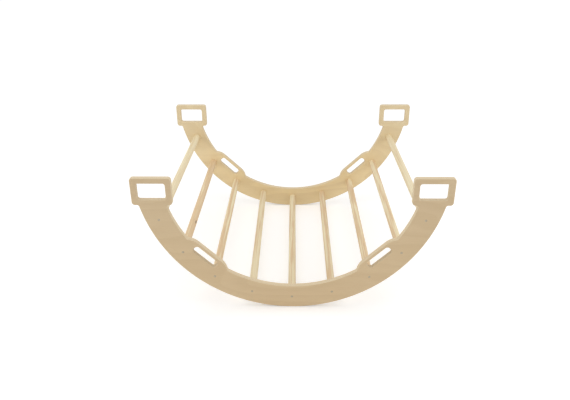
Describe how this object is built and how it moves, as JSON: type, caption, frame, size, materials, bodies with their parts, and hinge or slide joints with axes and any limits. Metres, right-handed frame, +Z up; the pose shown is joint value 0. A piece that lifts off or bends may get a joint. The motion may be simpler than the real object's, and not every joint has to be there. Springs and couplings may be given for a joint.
{
  "type": "rocker arch",
  "caption": "Wooden rocker arch for small children: curved plywood side panels with hand holes, joined by round wooden rungs that sit in sockets and are held by countersunk screws.",
  "frame": {"origin": "on the floor under the middle of the arch, in line with the points where both runners touch the floor", "axes": "+X along the arch from one pair of handles to the other, +Y from the front side panel to the back one, +Z up while the arch stands on its runners"},
  "size_m": [1.001, 0.8, 0.474],
  "materials": {
    "plywood": "clear matt lacquer on birch plywood",
    "dowel": "clear matt lacquer on turned hardwood",
    "screw": "zinc-plated steel"
  },
  "bodies": {
    "root": {"side_panel_front": "plywood", "side_panel_back": "plywood", "rung_1": "dowel", "rung_2": "dowel", "rung_3": "dowel", "rung_4": "dowel", "rung_5": "dowel", "rung_6": "dowel", "rung_7": "dowel", "rung_8": "dowel", "rung_9": "dowel", "rung_screw_front_1": "screw", "rung_screw_front_2": "screw", "rung_screw_front_3": "screw", "rung_screw_front_4": "screw", "rung_screw_front_5": "screw", "rung_screw_front_6": "screw", "rung_screw_front_7": "screw", "rung_screw_front_8": "screw", "rung_screw_front_9": "screw", "rung_screw_back_1": "screw", "rung_screw_back_2": "screw", "rung_screw_back_3": "screw", "rung_screw_back_4": "screw", "rung_screw_back_5": "screw", "rung_screw_back_6": "screw", "rung_screw_back_7": "screw", "rung_screw_back_8": "screw", "rung_screw_back_9": "screw"}
  },
  "joints": []
}
